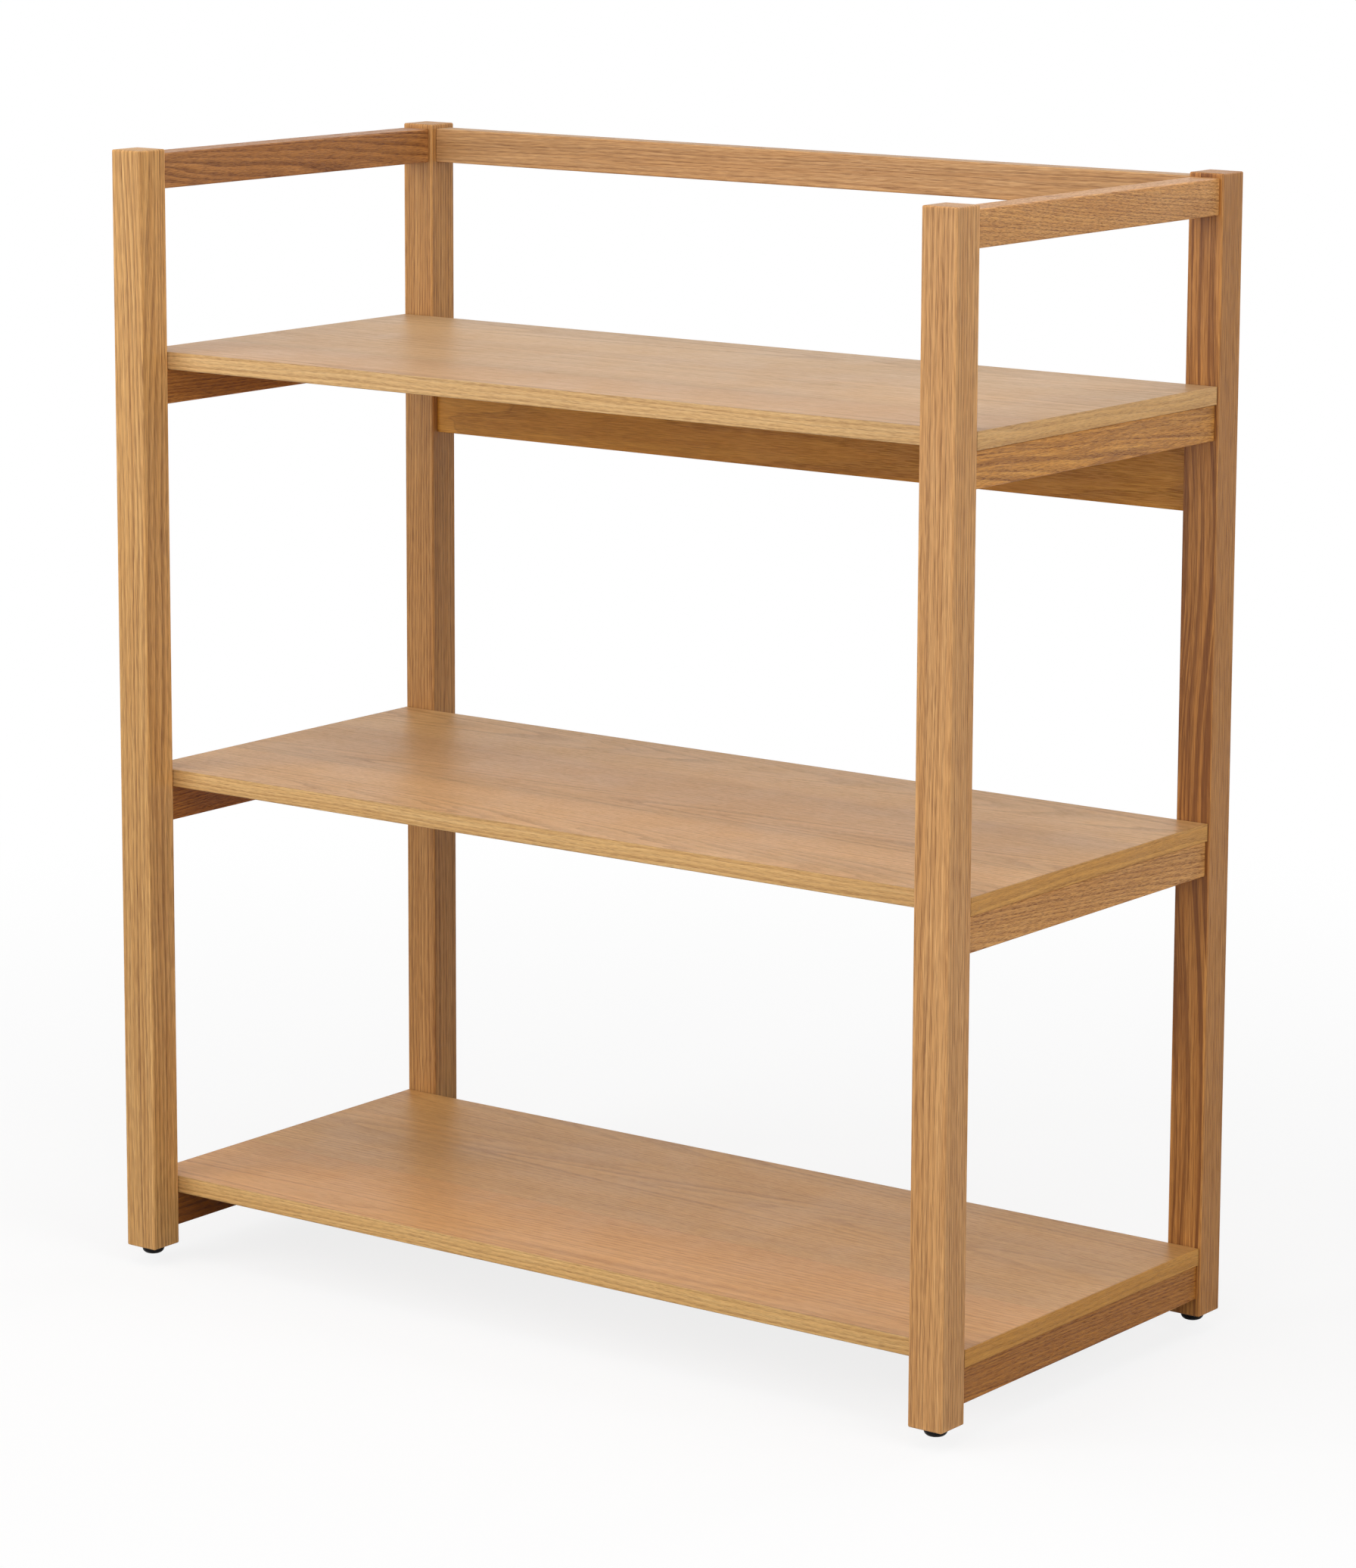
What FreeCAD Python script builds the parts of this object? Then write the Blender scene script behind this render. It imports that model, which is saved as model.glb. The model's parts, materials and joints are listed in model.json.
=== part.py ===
"""Open oak rack: three veneered shelves on side rails, between four posts on levelling feet.

Millimetres. X runs along the width, -Y is the front and +Z is up. The origin is on the floor,
under the middle of the rack.
"""
import FreeCAD
import Part
import Sketcher
import math
import os
import re

# Driving sizes. Every other size and place is worked out from these.
SIZES = {
    # The whole rack
    "overall_width": 800,
    "overall_depth": 390,
    "overall_height": 900,
    # Posts
    "post_side": 30,
    "post_corner_radius": 1.5,
    "post_end_radius": 1.3,
    # Shelves: a core with veneer on both faces and edging all round. The upper one lies below the
    # posts' tops by the top bay's height, and the middle one is half way between the other two.
    "top_bay_height": 161,
    "shelf_thickness": 14,
    "shelf_end_inset": 1,
    "shelf_post_gap": 1,
    "veneer_thickness": 0.6,
    "edging_thickness": 1,
    "edging_arris": 0.7,
    # Side rails, centred on the posts: how far the lower ones lie above the posts' lower ends, and
    # the top ones below the posts' tops
    "lower_rail_rise": 14,
    "rail_height": 28,
    "rail_thickness": 24,
    "rail_arris": 1.2,
    "rail_end_arris": 1,
    "top_rail_drop": 3.5,
    # Back rails: a top one as high as the side rails, and a deep one under the upper shelf
    "back_rail_thickness": 18,
    "deep_rail_height": 85,
    # Dowels: two in each rail end, held clear of the foot's insert by a web of wood
    "dowel_diameter": 8,
    "dowel_length": 30,
    "dowel_web": 1,
    "dowel_end_gap": 0.5,
    "glue_gap": 0.1,
    # Screws that come up through the side rails into the shelves
    "screw_diameter": 4,
    "screw_tip": 4,
    "screw_point_diameter": 0.8,
    "screw_cover": 4,
    "screw_counterbore": 13,
    "screw_end_distance": 55,
    "screw_head_diameter": 8,
    "screw_head_height": 2.6,
    "screw_recess_width": 1.2,
    "screw_recess_length": 4.6,
    "screw_recess_depth": 1.5,
    "screw_clearance": 0.4,
    # Levelling feet: a plastic pad on a steel stud, in a threaded insert
    "foot_height": 7,
    "foot_diameter": 18,
    "foot_round": 4.5,
    "foot_rim": 0.4,
    "foot_floor": 3,
    "foot_seat_gap": 0.1,
    "stud_diameter": 6,
    "stud_reach": 25,
    "stud_tip_gap": 3,
    "stud_side_gap": 0.5,
    "thread_clearance": 0.05,
    "insert_length": 12,
    "insert_wall": 2,
}

# Formulas in those sizes
POST_LENGTH = "(overall_height - foot_height)"
POST_X = "((overall_width - post_side) / 2)"
POST_Y = "((overall_depth - post_side) / 2)"
SIDE_RAIL_LENGTH = "(overall_depth - 2 * post_side)"
BACK_RAIL_LENGTH = "(overall_width - 2 * post_side)"
SHELF_WIDTH = "(overall_width - 2 * shelf_end_inset)"
SHELF_DEPTH = "(overall_depth - 2 * post_side - 2 * shelf_post_gap)"
CORE_WIDTH = f"({SHELF_WIDTH} - 2 * edging_thickness)"
CORE_DEPTH = f"({SHELF_DEPTH} - 2 * edging_thickness)"
CORE_THICKNESS = "(shelf_thickness - 2 * veneer_thickness)"
INSERT_DIAMETER = "(stud_diameter + 2 * insert_wall)"
DOWEL_BORE = "(dowel_diameter + 2 * glue_gap)"
POST_BORE_DEPTH = f"(post_side / 2 - {INSERT_DIAMETER} / 2 - dowel_web)"
DOWEL_IN_POST = f"({POST_BORE_DEPTH} - dowel_end_gap)"
DOWEL_IN_RAIL = f"(dowel_length - {DOWEL_IN_POST})"
RAIL_BORE_DEPTH = f"({DOWEL_IN_RAIL} + dowel_end_gap)"
SCREW_GRIP = "(rail_height - screw_counterbore)"
SCREW_BITE = "(shelf_thickness - screw_cover)"
SCREW_BORE = "(screw_diameter + 2 * glue_gap)"
SCREW_Y = f"({SIDE_RAIL_LENGTH} / 2 - screw_end_distance)"
SCREW_PLACES = [(f"{x} * {POST_X}", f"{y} * {SCREW_Y}") for x in (-1, 1) for y in (-1, 1)]
PAD_HEIGHT = "(foot_height - foot_seat_gap)"

# A rounding takes at most this share of the rounding or the wall that it runs into
MOST_ROUNDING = 0.9
POST_END_RADIUS = f"min(post_end_radius; {MOST_ROUNDING} * post_corner_radius)"
RAIL_END_ARRIS = f"min(rail_end_arris; {MOST_ROUNDING} * rail_arris)"
EDGING_ARRIS = f"min(edging_arris; {MOST_ROUNDING} * edging_thickness)"

# Signs of the sides of the rack
LEFT_RIGHT = {"left": -1, "right": 1}
FRONT_BACK = {"front": -1, "back": 1}

# Heights of the shelves and rails
LOWER_SHELF_TOP = "(foot_height + lower_rail_rise + rail_height + shelf_thickness)"
UPPER_SHELF_TOP = "(overall_height - top_bay_height)"
SHELF_TOPS = {
    "lower": LOWER_SHELF_TOP,
    "middle": f"(({LOWER_SHELF_TOP} + {UPPER_SHELF_TOP}) / 2)",
    "upper": UPPER_SHELF_TOP,
}
SHELF_BOTTOMS = {level: f"({top} - shelf_thickness)" for level, top in SHELF_TOPS.items()}
TOP_RAIL_MIDDLE = "(overall_height - top_rail_drop - rail_height / 2)"
DEEP_RAIL_MIDDLE = f"({SHELF_BOTTOMS['upper']} - deep_rail_height / 2)"
SIDE_RAIL_MIDDLES = {level: f"({bottom} - rail_height / 2)" for level, bottom in SHELF_BOTTOMS.items()}
SIDE_RAIL_MIDDLES["top"] = TOP_RAIL_MIDDLE

# The two dowels of a rail end stand at its quarter points, this far from its middle
RAIL_DOWEL_REACH = "(rail_height / 4)"
DEEP_RAIL_DOWEL_REACH = "(deep_rail_height / 4)"
BACK_RAILS = {
    "back_top_rail": (TOP_RAIL_MIDDLE, "rail_height", RAIL_DOWEL_REACH),
    "back_deep_rail": (DEEP_RAIL_MIDDLE, "deep_rail_height", DEEP_RAIL_DOWEL_REACH),
}

SIZE_NAME = re.compile(r"\b([a-z]+(?:_[a-z]+)+)\b")
FLAT = 1e-6
# A hole has to cut at least this share of its own volume
LEAST_CUT = 0.5

doc = FreeCAD.newDocument("OakRack")
pieces = []


def make_sheet():
    """Put every driving size in a named cell."""
    sheet = doc.addObject("Spreadsheet::Sheet", "Sizes")
    for row, (name, value) in enumerate(SIZES.items(), start=1):
        sheet.set(f"A{row}", name.replace("_", " "))
        sheet.set(f"B{row}", str(value))
        sheet.setAlias(f"B{row}", name)
    doc.recompute()


def bind(item, prop, formula):
    """Tie a property to a formula in the driving sizes."""
    item.setExpression(prop, SIZE_NAME.sub(r"Sizes.\1", formula))


def place(item, x="0", y="0", z="0"):
    """Tie an object's position to three formulas."""
    for axis, formula in zip("xyz", (x, y, z)):
        bind(item, f"Placement.Base.{axis}", formula)


def keep(item):
    """Keep a finished sub-part for the export."""
    pieces.append(item)


def new_body(name, x="0", y="0", z="0"):
    """Start a solid that is built from sketches."""
    body = doc.addObject("PartDesign::Body", name)
    body.Label = name
    place(body, x, y, z)
    return body


def new_sketch(body, role, offset="0"):
    """Start a sketch on one of the body's own planes, moved along that plane's normal."""
    sketch = body.newObject("Sketcher::SketchObject", f"{body.Name}_sketch")
    plane = next(item for item in body.Origin.OriginFeatures if item.Role == role)
    sketch.AttachmentSupport = (plane, [""])
    sketch.MapMode = "FlatFace"
    bind(sketch, "AttachmentOffset.Base.z", offset)
    return sketch


def constrain(sketch, formula, *constraint):
    """Add a measured constraint that follows a formula."""
    start_value = 1.0
    index = sketch.addConstraint(Sketcher.Constraint(*constraint, start_value))
    bind(sketch, f"Constraints[{index}]", formula)


def draw_rectangle(sketch, across, up):
    """Draw a rectangle centred on the sketch's origin."""
    corners = [FreeCAD.Vector(x, y, 0) for x, y in ((-1, -1), (1, -1), (1, 1), (-1, 1))]
    for start, end in zip(corners, corners[1:] + corners[:1]):
        sketch.addGeometry(Part.LineSegment(start, end))
    for line in range(4):
        sketch.addConstraint(Sketcher.Constraint("Coincident", line, 2, (line + 1) % 4, 1))
    for line in (0, 2):
        sketch.addConstraint(Sketcher.Constraint("Horizontal", line))
    for line in (1, 3):
        sketch.addConstraint(Sketcher.Constraint("Vertical", line))
    sketch.addConstraint(Sketcher.Constraint("Symmetric", 0, 1, 2, 1, -1, 1))
    constrain(sketch, across, "DistanceX", 0, 1, 0, 2)
    constrain(sketch, up, "DistanceY", 1, 1, 1, 2)


def draw_circle(sketch, diameter, x="0", y="0"):
    """Draw a circle at a place that is measured from the sketch's origin."""
    circle = sketch.addGeometry(Part.Circle(FreeCAD.Vector(1, 1, 0), FreeCAD.Vector(0, 0, 1), 1))
    constrain(sketch, diameter, "Diameter", circle)
    constrain(sketch, x, "DistanceX", -1, 1, circle, 3)
    constrain(sketch, y, "DistanceY", -1, 1, circle, 3)


def pad(body, sketch, length, both_ways=False):
    """Raise a sketch into a solid, from its plane or half to each side of it."""
    solid = body.newObject("PartDesign::Pad", f"{body.Name}_pad")
    solid.Profile = sketch
    bind(solid, "Length", length)
    if both_ways:
        solid.SideType = "Symmetric"
    doc.recompute()
    return solid


def round_edges(body, solid, radius, wanted):
    """Round the edges that a test picks out."""
    names = [f"Edge{n}" for n, edge in enumerate(solid.Shape.Edges, start=1) if wanted(edge)]
    fillet = body.newObject("PartDesign::Fillet", f"{body.Name}_round")
    fillet.Base = (solid, names)
    bind(fillet, "Radius", radius)
    doc.recompute()
    return fillet


def runs_along(axis):
    """Make a test for straight edges along an axis."""
    def test(edge):
        box = edge.BoundBox
        spans = {"X": box.XLength, "Y": box.YLength, "Z": box.ZLength}
        return spans.pop(axis) > FLAT and max(spans.values()) < FLAT
    return test


def lies_across(axis):
    """Make a test for edges in a plane square to an axis."""
    def test(edge):
        return getattr(edge.BoundBox, f"{axis}Length") < FLAT
    return test


def drill(body, role, offset, places, diameter, depth, with_normal):
    """Bore blind holes from a plane, and make sure that they cut wood."""
    before = body.Shape.Volume
    sketch = new_sketch(body, role, offset)
    for x, y in places:
        draw_circle(sketch, diameter, x, y)
    holes = body.newObject("PartDesign::Pocket", f"{body.Name}_holes")
    holes.Profile = sketch
    bind(holes, "Length", depth)
    holes.Reversed = with_normal
    doc.recompute()
    area = sum(math.pi * circle.Radius ** 2 for circle in sketch.Geometry)
    if before - body.Shape.Volume < LEAST_CUT * area * holes.Length.Value:
        raise ValueError(f"{body.Label}: holes on {role} at {offset} cut too little")


def make_post(front_back, left_right):
    """Make a square post with rounded edges, bored for its rails' dowels and its foot."""
    y_sign = FRONT_BACK[front_back]
    x_sign = LEFT_RIGHT[left_right]
    name = f"{front_back}_{left_right}_post"
    body = new_body(name, f"{x_sign} * {POST_X}", f"{y_sign} * {POST_Y}", "foot_height")
    section = new_sketch(body, "XY_Plane")
    draw_rectangle(section, "post_side", "post_side")
    solid = pad(body, section, POST_LENGTH)
    solid = round_edges(body, solid, "post_corner_radius", runs_along("Z"))
    round_edges(body, solid, POST_END_RADIUS, lies_across("Z"))

    side_holes = []
    for middle in SIDE_RAIL_MIDDLES.values():
        for sign in (-1, 1):
            side_holes.append(("0", f"{middle} - foot_height + {sign} * {RAIL_DOWEL_REACH}"))
    inner_face = f"{y_sign} * post_side / 2"
    drill(body, "XZ_Plane", inner_face, side_holes, DOWEL_BORE, POST_BORE_DEPTH, y_sign < 0)

    if front_back == "back":
        back_holes = []
        for middle, _, reach in BACK_RAILS.values():
            for sign in (-1, 1):
                back_holes.append(("0", f"{middle} - foot_height + {sign} * {reach}"))
        inner_side = f"{-x_sign} * post_side / 2"
        drill(body, "YZ_Plane", inner_side, back_holes, DOWEL_BORE, POST_BORE_DEPTH, x_sign > 0)

    centre = [("0", "0")]
    seat = f"({INSERT_DIAMETER} + 2 * glue_gap)"
    drill(body, "XY_Plane", "0", centre, seat, "insert_length", True)
    stud_bore = "(stud_diameter + 2 * stud_side_gap)"
    stud_depth = "(stud_reach + stud_tip_gap - insert_length)"
    drill(body, "XY_Plane", "insert_length", centre, stud_bore, stud_depth, True)
    keep(body)


def make_side_rail(level, left_right):
    """Make a rail between a front and a back post, screwed to the shelf that it carries."""
    x_sign = LEFT_RIGHT[left_right]
    body = new_body(f"{left_right}_{level}_rail", f"{x_sign} * {POST_X}", "0", SIDE_RAIL_MIDDLES[level])
    section = new_sketch(body, "XZ_Plane")
    draw_rectangle(section, "rail_thickness", "rail_height")
    solid = pad(body, section, SIDE_RAIL_LENGTH, both_ways=True)
    solid = round_edges(body, solid, "rail_arris", runs_along("Y"))
    round_edges(body, solid, RAIL_END_ARRIS, lies_across("Y"))

    dowel_holes = [("0", f"{sign} * {RAIL_DOWEL_REACH}") for sign in (-1, 1)]
    for sign in (-1, 1):
        end = f"{sign} * {SIDE_RAIL_LENGTH} / 2"
        drill(body, "XZ_Plane", end, dowel_holes, DOWEL_BORE, RAIL_BORE_DEPTH, sign < 0)

    if level in SHELF_TOPS:
        screw_holes = [("0", f"{sign} * {SCREW_Y}") for sign in (-1, 1)]
        underside = "-rail_height / 2"
        head_bore = "(screw_head_diameter + 2 * screw_clearance)"
        shank_bore = "(screw_diameter + 2 * screw_clearance)"
        drill(body, "XY_Plane", underside, screw_holes, head_bore, "screw_counterbore", True)
        seat = f"(rail_height / 2 - {SCREW_GRIP})"
        drill(body, "XY_Plane", seat, screw_holes, shank_bore, SCREW_GRIP, True)
    keep(body)


def make_back_rail(name, middle, height, dowel_reach):
    """Make a rail between the two back posts."""
    body = new_body(name, "0", POST_Y, middle)
    section = new_sketch(body, "YZ_Plane")
    draw_rectangle(section, "back_rail_thickness", height)
    solid = pad(body, section, BACK_RAIL_LENGTH, both_ways=True)
    solid = round_edges(body, solid, "rail_arris", runs_along("X"))
    round_edges(body, solid, RAIL_END_ARRIS, lies_across("X"))
    dowel_holes = [("0", f"{sign} * {dowel_reach}") for sign in (-1, 1)]
    for sign in (-1, 1):
        end = f"{sign} * {BACK_RAIL_LENGTH} / 2"
        drill(body, "YZ_Plane", end, dowel_holes, DOWEL_BORE, RAIL_BORE_DEPTH, sign < 0)
    keep(body)


def make_layer(name, thickness, bottom, screw_depth=None):
    """Make one flat layer of a shelf, bored from below where screws reach it."""
    body = new_body(name, "0", "0", bottom)
    outline = new_sketch(body, "XY_Plane")
    draw_rectangle(outline, CORE_WIDTH, CORE_DEPTH)
    pad(body, outline, thickness)
    if screw_depth:
        drill(body, "XY_Plane", "0", SCREW_PLACES, SCREW_BORE, screw_depth, True)
    keep(body)


def make_strip(name, place_at, plane, length, is_outer_arris):
    """Make one strip of edging with its two outer arrises eased."""
    body = new_body(name, *place_at)
    section = new_sketch(body, plane)
    draw_rectangle(section, "edging_thickness", "shelf_thickness")
    solid = pad(body, section, length, both_ways=True)
    round_edges(body, solid, EDGING_ARRIS, is_outer_arris)
    return body


def make_edging(level):
    """Make the four strips round a shelf: long ones in front and behind, and one on each end."""
    middle = f"({SHELF_BOTTOMS[level]} + shelf_thickness / 2)"
    along_x = runs_along("X")
    along_y = runs_along("Y")
    strips = []
    for side, sign in FRONT_BACK.items():
        place_at = ("0", f"{sign} * ({SHELF_DEPTH} - edging_thickness) / 2", middle)
        strips.append(make_strip(f"{level}_{side}_strip", place_at, "YZ_Plane", SHELF_WIDTH,
                                 lambda edge: along_x(edge) and edge.CenterOfMass.y * sign > 0))
    for side, sign in LEFT_RIGHT.items():
        place_at = (f"{sign} * ({SHELF_WIDTH} - edging_thickness) / 2", "0", middle)
        strips.append(make_strip(f"{level}_{side}_strip", place_at, "XZ_Plane", CORE_DEPTH,
                                 lambda edge: along_y(edge) and edge.CenterOfMass.x * sign > 0))
    group_solids(f"{level}_shelf_edging", strips)


def make_shelf(level):
    """Make a shelf: core, veneer on both faces, and edging."""
    bottom = SHELF_BOTTOMS[level]
    core_bottom = f"({bottom} + veneer_thickness)"
    core_bore = f"({SCREW_BITE} - veneer_thickness)"
    top_veneer_bottom = f"({SHELF_TOPS[level]} - veneer_thickness)"
    make_layer(f"{level}_shelf_bottom_veneer", "veneer_thickness", bottom, "veneer_thickness")
    make_layer(f"{level}_shelf_core", CORE_THICKNESS, core_bottom, core_bore)
    make_layer(f"{level}_shelf_top_veneer", "veneer_thickness", top_veneer_bottom)
    make_edging(level)


def group_solids(name, members):
    """Make one sub-part of several separate solids."""
    group = doc.addObject("Part::Compound", name)
    group.Label = name
    group.Links = members
    doc.recompute()
    keep(group)


def copy_of(pattern, x, y, z, turn=None):
    """Set a copy of a fastener in place, with a turn where it lies along X or Y."""
    copy = doc.addObject("App::Link", f"{pattern.Name}_copy")
    copy.LinkedObject = pattern
    if turn:
        copy.Placement = FreeCAD.Placement(FreeCAD.Vector(), turn)
    place(copy, x, y, z)
    return copy


def make_cylinder(name, diameter, height, bottom="0"):
    """Make a plain upright cylinder on the Z axis."""
    cylinder = doc.addObject("Part::Cylinder", name)
    bind(cylinder, "Radius", f"{diameter} / 2")
    bind(cylinder, "Height", height)
    place(cylinder, z=bottom)
    return cylinder


def make_dowels():
    """Make the dowels that join the side rails and the back rails to the posts."""
    dowel = make_cylinder("dowel", "dowel_diameter", "dowel_length")
    along_y = FreeCAD.Rotation(FreeCAD.Vector(1, 0, 0), -90)
    along_x = FreeCAD.Rotation(FreeCAD.Vector(0, 1, 0), 90)
    starts = {-1: DOWEL_IN_POST, 1: DOWEL_IN_RAIL}

    side_dowels = []
    for x_sign in LEFT_RIGHT.values():
        for middle in SIDE_RAIL_MIDDLES.values():
            for end, back_from_end in starts.items():
                y = f"{end} * {SIDE_RAIL_LENGTH} / 2 - {back_from_end}"
                for sign in (-1, 1):
                    z = f"{middle} + {sign} * {RAIL_DOWEL_REACH}"
                    side_dowels.append(copy_of(dowel, f"{x_sign} * {POST_X}", y, z, along_y))
    group_solids("side_rail_dowels", side_dowels)

    back_dowels = []
    for middle, _, reach in BACK_RAILS.values():
        for end, back_from_end in starts.items():
            x = f"{end} * {BACK_RAIL_LENGTH} / 2 - {back_from_end}"
            for sign in (-1, 1):
                back_dowels.append(copy_of(dowel, x, POST_Y, f"{middle} + {sign} * {reach}", along_x))
    group_solids("back_rail_dowels", back_dowels)


def make_screws():
    """Make the pan head screws, point up, with a cross recess in the head below."""
    length = f"({SCREW_GRIP} + {SCREW_BITE})"
    head = make_cylinder("screw_head", "screw_head_diameter", "screw_head_height", "-screw_head_height")
    shank = make_cylinder("screw_shank", "screw_diameter", f"({length} - screw_tip)")
    tip = doc.addObject("Part::Cone", "screw_point")
    bind(tip, "Radius1", "screw_diameter / 2")
    bind(tip, "Radius2", "screw_point_diameter / 2")
    bind(tip, "Height", "screw_tip")
    place(tip, z=f"{length} - screw_tip")
    blank = doc.addObject("Part::MultiFuse", "screw_blank")
    blank.Shapes = [head, shank, tip]

    slots = []
    for along, across in (("Length", "Width"), ("Width", "Length")):
        slot = doc.addObject("Part::Box", "screw_slot")
        bind(slot, along, "screw_recess_length")
        bind(slot, across, "screw_recess_width")
        bind(slot, "Height", "screw_recess_depth")
        shifts = {"Length": "-screw_recess_length / 2", "Width": "-screw_recess_width / 2"}
        place(slot, shifts[along], shifts[across], "-screw_head_height")
        slots.append(slot)
    recess = doc.addObject("Part::MultiFuse", "screw_recess")
    recess.Shapes = slots
    screw = doc.addObject("Part::Cut", "screw")
    screw.Base = blank
    screw.Tool = recess

    screws = []
    for bottom in SHELF_BOTTOMS.values():
        for x, y in SCREW_PLACES:
            screws.append(copy_of(screw, x, y, f"{bottom} - {SCREW_GRIP}"))
    group_solids("shelf_screws", screws)


def make_inserts():
    """Make the threaded inserts in the posts' lower ends."""
    outside = make_cylinder("insert_outside", INSERT_DIAMETER, "insert_length")
    bore = make_cylinder("insert_bore", "(stud_diameter + 2 * thread_clearance)", "insert_length")
    insert = doc.addObject("Part::Cut", "insert")
    insert.Base = outside
    insert.Tool = bore
    inserts = []
    for x_sign in (-1, 1):
        for y_sign in (-1, 1):
            inserts.append(copy_of(insert, f"{x_sign} * {POST_X}", f"{y_sign} * {POST_Y}", "foot_height"))
    group_solids("foot_inserts", inserts)


def make_foot(front_back, left_right):
    """Make a levelling foot: a round pad with a soft lower edge, and the stud that is set in it."""
    x = f"{LEFT_RIGHT[left_right]} * {POST_X}"
    y = f"{FRONT_BACK[front_back]} * {POST_Y}"
    body = new_body(f"{front_back}_{left_right}_foot_pad", x, y, "0")
    outline = new_sketch(body, "XY_Plane")
    draw_circle(outline, "foot_diameter")
    solid = pad(body, outline, PAD_HEIGHT)
    top = solid.Shape.BoundBox.ZMax
    solid = round_edges(body, solid, "foot_round", lambda edge: edge.BoundBox.ZMax < FLAT)
    round_edges(body, solid, "foot_rim", lambda edge: edge.BoundBox.ZMin > top - FLAT)
    socket = "(stud_diameter + 2 * glue_gap)"
    drill(body, "XY_Plane", PAD_HEIGHT, [("0", "0")], socket, f"({PAD_HEIGHT} - foot_floor)", False)
    keep(body)

    stud = make_cylinder(f"{front_back}_{left_right}_foot_stud", "stud_diameter",
                         "(foot_height + stud_reach - foot_floor)")
    place(stud, x, y, "foot_floor")
    keep(stud)


def check_everything():
    """Stop unless every object was worked out and every sub-part is a sound solid."""
    for item in doc.Objects:
        if "Invalid" in item.State or "Error" in item.State:
            raise ValueError(f"{item.Label} failed: {item.State}")
    for item in pieces:
        if item.Shape.isNull() or not item.Shape.isValid() or not item.Shape.Solids:
            raise ValueError(f"{item.Label} has no sound shape")


def write_pieces():
    """Write each sub-part under its own name."""
    os.makedirs("parts", exist_ok=True)
    for item in pieces:
        item.Shape.exportStep(f"parts/{item.Label}.step")


make_sheet()
for front_back in FRONT_BACK:
    for left_right in LEFT_RIGHT:
        make_post(front_back, left_right)
        make_foot(front_back, left_right)
for level in SIDE_RAIL_MIDDLES:
    for left_right in LEFT_RIGHT:
        make_side_rail(level, left_right)
for name, (middle, height, dowel_reach) in BACK_RAILS.items():
    make_back_rail(name, middle, height, dowel_reach)
for level in SHELF_TOPS:
    make_shelf(level)
make_dowels()
make_screws()
make_inserts()
doc.recompute()
check_everything()
write_pieces()
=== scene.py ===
"""Looks for the open oak rack: lacquered oak, black feet, zinc plated hardware and a plain studio.

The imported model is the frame. Each operator below finishes one kind of piece, and the last one
sets the stage. Metres: X runs along the width, -Y is the front and +Z is up.
"""
import json
import math
from collections import namedtuple

import bmesh
import bpy
from bpy.props import FloatProperty, FloatVectorProperty, PointerProperty
from mathutils import Euler, Matrix, Vector


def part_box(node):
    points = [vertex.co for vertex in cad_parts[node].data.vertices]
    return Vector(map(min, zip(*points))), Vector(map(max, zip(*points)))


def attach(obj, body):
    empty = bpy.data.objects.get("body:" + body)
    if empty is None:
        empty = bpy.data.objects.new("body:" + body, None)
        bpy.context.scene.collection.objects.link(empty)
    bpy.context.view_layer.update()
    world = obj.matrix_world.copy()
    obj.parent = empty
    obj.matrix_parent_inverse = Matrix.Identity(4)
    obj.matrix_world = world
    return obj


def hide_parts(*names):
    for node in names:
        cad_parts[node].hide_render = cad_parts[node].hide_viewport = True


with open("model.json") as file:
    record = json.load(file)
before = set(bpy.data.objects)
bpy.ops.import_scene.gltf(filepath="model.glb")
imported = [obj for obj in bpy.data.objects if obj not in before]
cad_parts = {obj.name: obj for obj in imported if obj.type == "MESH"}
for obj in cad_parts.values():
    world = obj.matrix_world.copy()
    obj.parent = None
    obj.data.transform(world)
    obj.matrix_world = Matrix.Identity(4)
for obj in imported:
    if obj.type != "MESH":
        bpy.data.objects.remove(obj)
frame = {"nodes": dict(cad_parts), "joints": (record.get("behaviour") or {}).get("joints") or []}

bl_info = {
    "name": "Oak rack looks",
    "version": (1, 0, 0),
    "blender": (4, 5, 0),
    "location": "3D View > Sidebar > Oak rack",
    "description": "Finishes the pieces of an open oak rack and sets a plain studio round it",
    "category": "Object",
}

NODES = frame["nodes"]
SIDES = [f"{depth}_{side}" for depth in ("front", "back") for side in ("left", "right")]

# One board of solid oak: the axis that its grain runs along, where along the log it was cut, how far
# off the log's heart in two directions, how far the grain slants, the width of a year's ring, how
# strongly the rings and the dark streaks show, and how much of each colour the board keeps. On the
# rails that sit under the shelves, and on the deep back rail, that tint also holds painted shade.
Board = namedtuple("Board", "axis start across deep slant ring contrast streaks tint")
POSTS = {
    "front_left_post": Board("Z", 0.31, 0.070, 0.090, 0.020, 0.0032, 0.55, 0.10, (1.07, 1.13, 1.11)),
    "front_right_post": Board("Z", 2.17, 0.095, 0.060, 0.012, 0.0026, 0.40, 0.05, (1.015, 1.02, 1.07)),
    "back_left_post": Board("Z", 3.64, 0.080, 0.085, -0.015, 0.0026, 0.50, 0.10, (0.85, 0.83, 0.75)),
    "back_right_post": Board("Z", 5.55, 0.046, 0.030, 0.012, 0.0024, 0.50, 0.85, (0.77, 0.66, 0.475)),
}
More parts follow.
